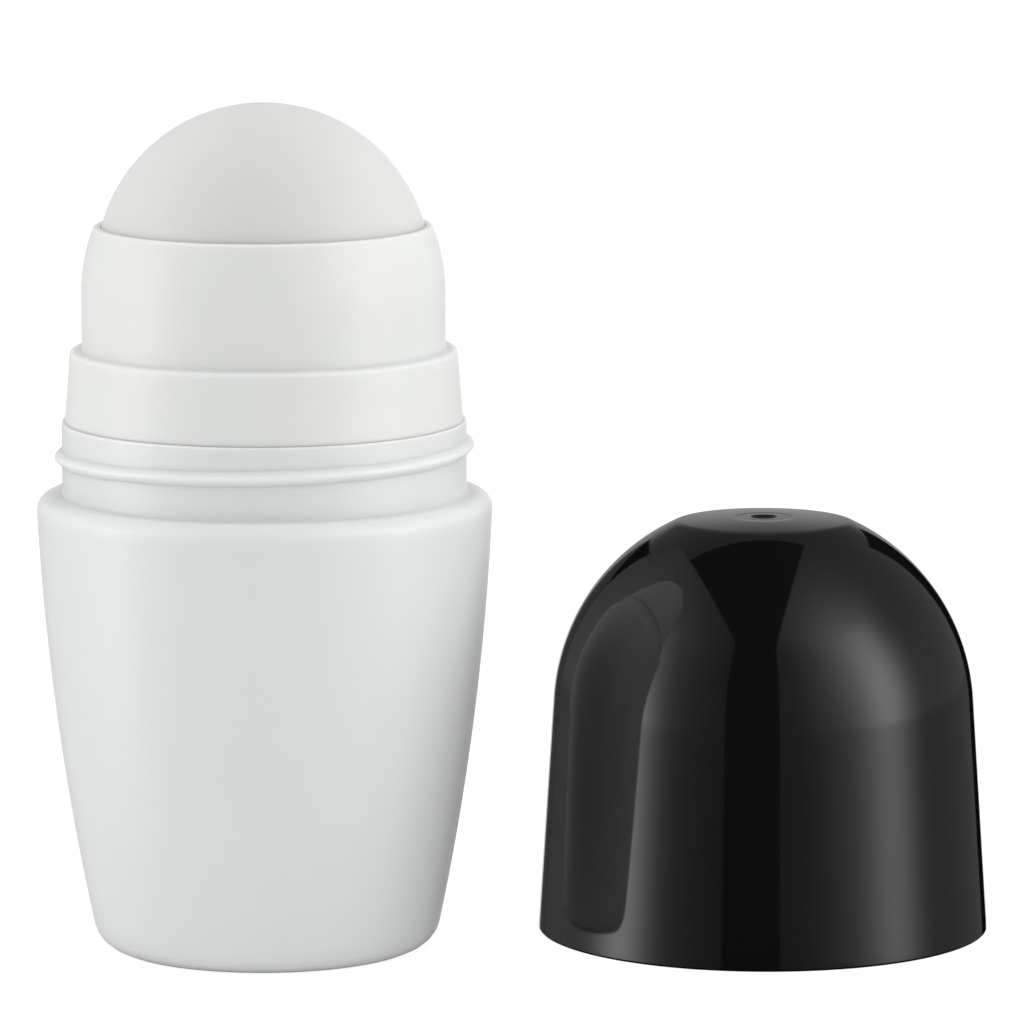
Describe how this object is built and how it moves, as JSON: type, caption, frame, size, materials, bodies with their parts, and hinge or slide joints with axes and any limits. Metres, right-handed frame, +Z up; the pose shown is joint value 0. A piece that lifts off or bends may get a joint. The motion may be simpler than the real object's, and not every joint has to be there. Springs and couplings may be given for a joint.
{
  "type": "roll on bottle",
  "caption": "White tapered bottle with a ball housing and a large roller ball on its neck, and a domed black screw cap standing beside it.",
  "frame": {"origin": "middle of the footprint of the bottle and the cap beside it, on the surface that both stand on", "axes": "+Z up; +X from the bottle towards the cap, along the longest side; +Y towards the back, along the shortest side"},
  "size_m": [0.1016, 0.057, 0.0903],
  "materials": {
    "bottle_white": "satin, blow-moulded white polyethylene",
    "housing_natural": "natural translucent polypropylene, moulded",
    "ball_natural": "fine matte polypropylene",
    "cap_black": "polished black polypropylene, moulded"
  },
  "bodies": {
    "bottle": {"bottle": "bottle_white", "ball_housing": "housing_natural"},
    "ball": {"roller_ball": "ball_natural"},
    "cap": {"cap": "cap_black"}
  },
  "joints": [
    {"name": "ball_roll", "type": "hinge", "parent": "bottle", "child": "ball", "pos_m": [-0.02666, -0.0043, 0.0725], "axis": [1, 0, 0], "continuous": true},
    {"name": "cap_lift", "type": "slide", "parent": "bottle", "child": "cap", "axis": [0, 0, 1], "range_m": [0, 0.095]}
  ]
}
